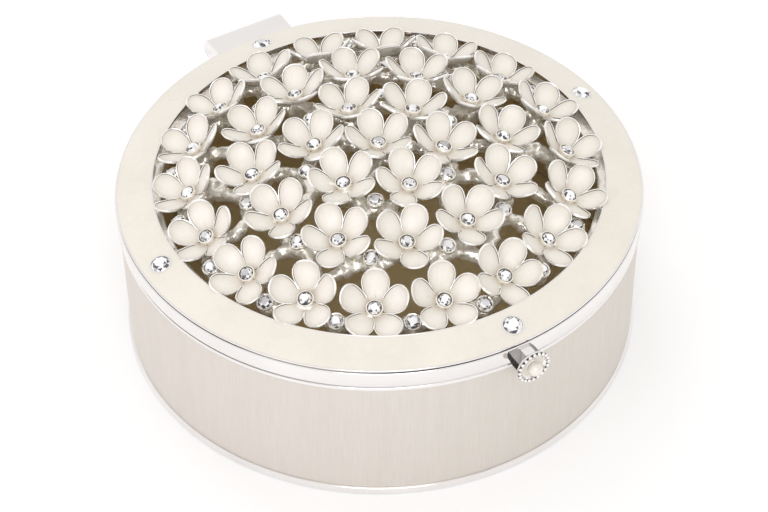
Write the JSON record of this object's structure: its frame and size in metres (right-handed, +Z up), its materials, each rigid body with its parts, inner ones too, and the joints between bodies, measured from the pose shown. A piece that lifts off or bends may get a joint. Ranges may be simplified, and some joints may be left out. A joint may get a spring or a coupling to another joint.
{
  "type": "trinket box",
  "caption": "Round silver-plated trinket box with a brushed drum and a hinged lid of openwork enamel blossoms and crystals, opened by a pearl knob, for jewellery and keepsakes.",
  "frame": {"origin": "on the table, under the middle of the drum", "axes": "+Z up; the knob is at -Y and the hinge at +Y; +X is to the right, seen from the knob"},
  "size_m": [0.09, 0.0995, 0.04],
  "materials": {
    "polished_silver": "mirror-polished silver plate",
    "cast_silver": "bright silver plate on a casting",
    "brushed_silver": "fine upright brush lines, satin",
    "pin_steel": "plain drawn wire",
    "ring_enamel": "glossy cream enamel with faint mottling",
    "petal_enamel": "pearly cream enamel with silver edges",
    "crystal": "faceted clear crystal with a foil back",
    "pearl": "pearl lustre",
    "lining": "olive velvet",
    "felt": "dark felt"
  },
  "bodies": {
    "base": {"base_plate": "polished_silver", "underside_pad": "felt", "drum_wall": "brushed_silver", "base_rim": "polished_silver", "wall_lining": "lining", "floor_pad": "lining", "hinge_base_leaf": "polished_silver", "hinge_pin": "pin_steel"},
    "lid": {"lid_band": "polished_silver", "lid_ring": "polished_silver", "ring_enamel": "ring_enamel", "ring_crystals": "crystal", "lattice": "cast_silver", "lattice_retainer": "polished_silver", "blossoms": "petal_enamel", "blossom_crystals": "crystal", "accent_cups": "cast_silver", "accent_crystals": "crystal", "hinge_lid_leaf": "polished_silver", "knob_collar": "polished_silver", "knob_bezel": "cast_silver", "knob_pearl": "pearl"}
  },
  "joints": [
    {"name": "lid_hinge", "type": "hinge", "parent": "base", "child": "lid", "pos_m": [0, 0.048, 0.02752], "axis": [-1, 0, 0], "range_deg": [0, 100]}
  ]
}
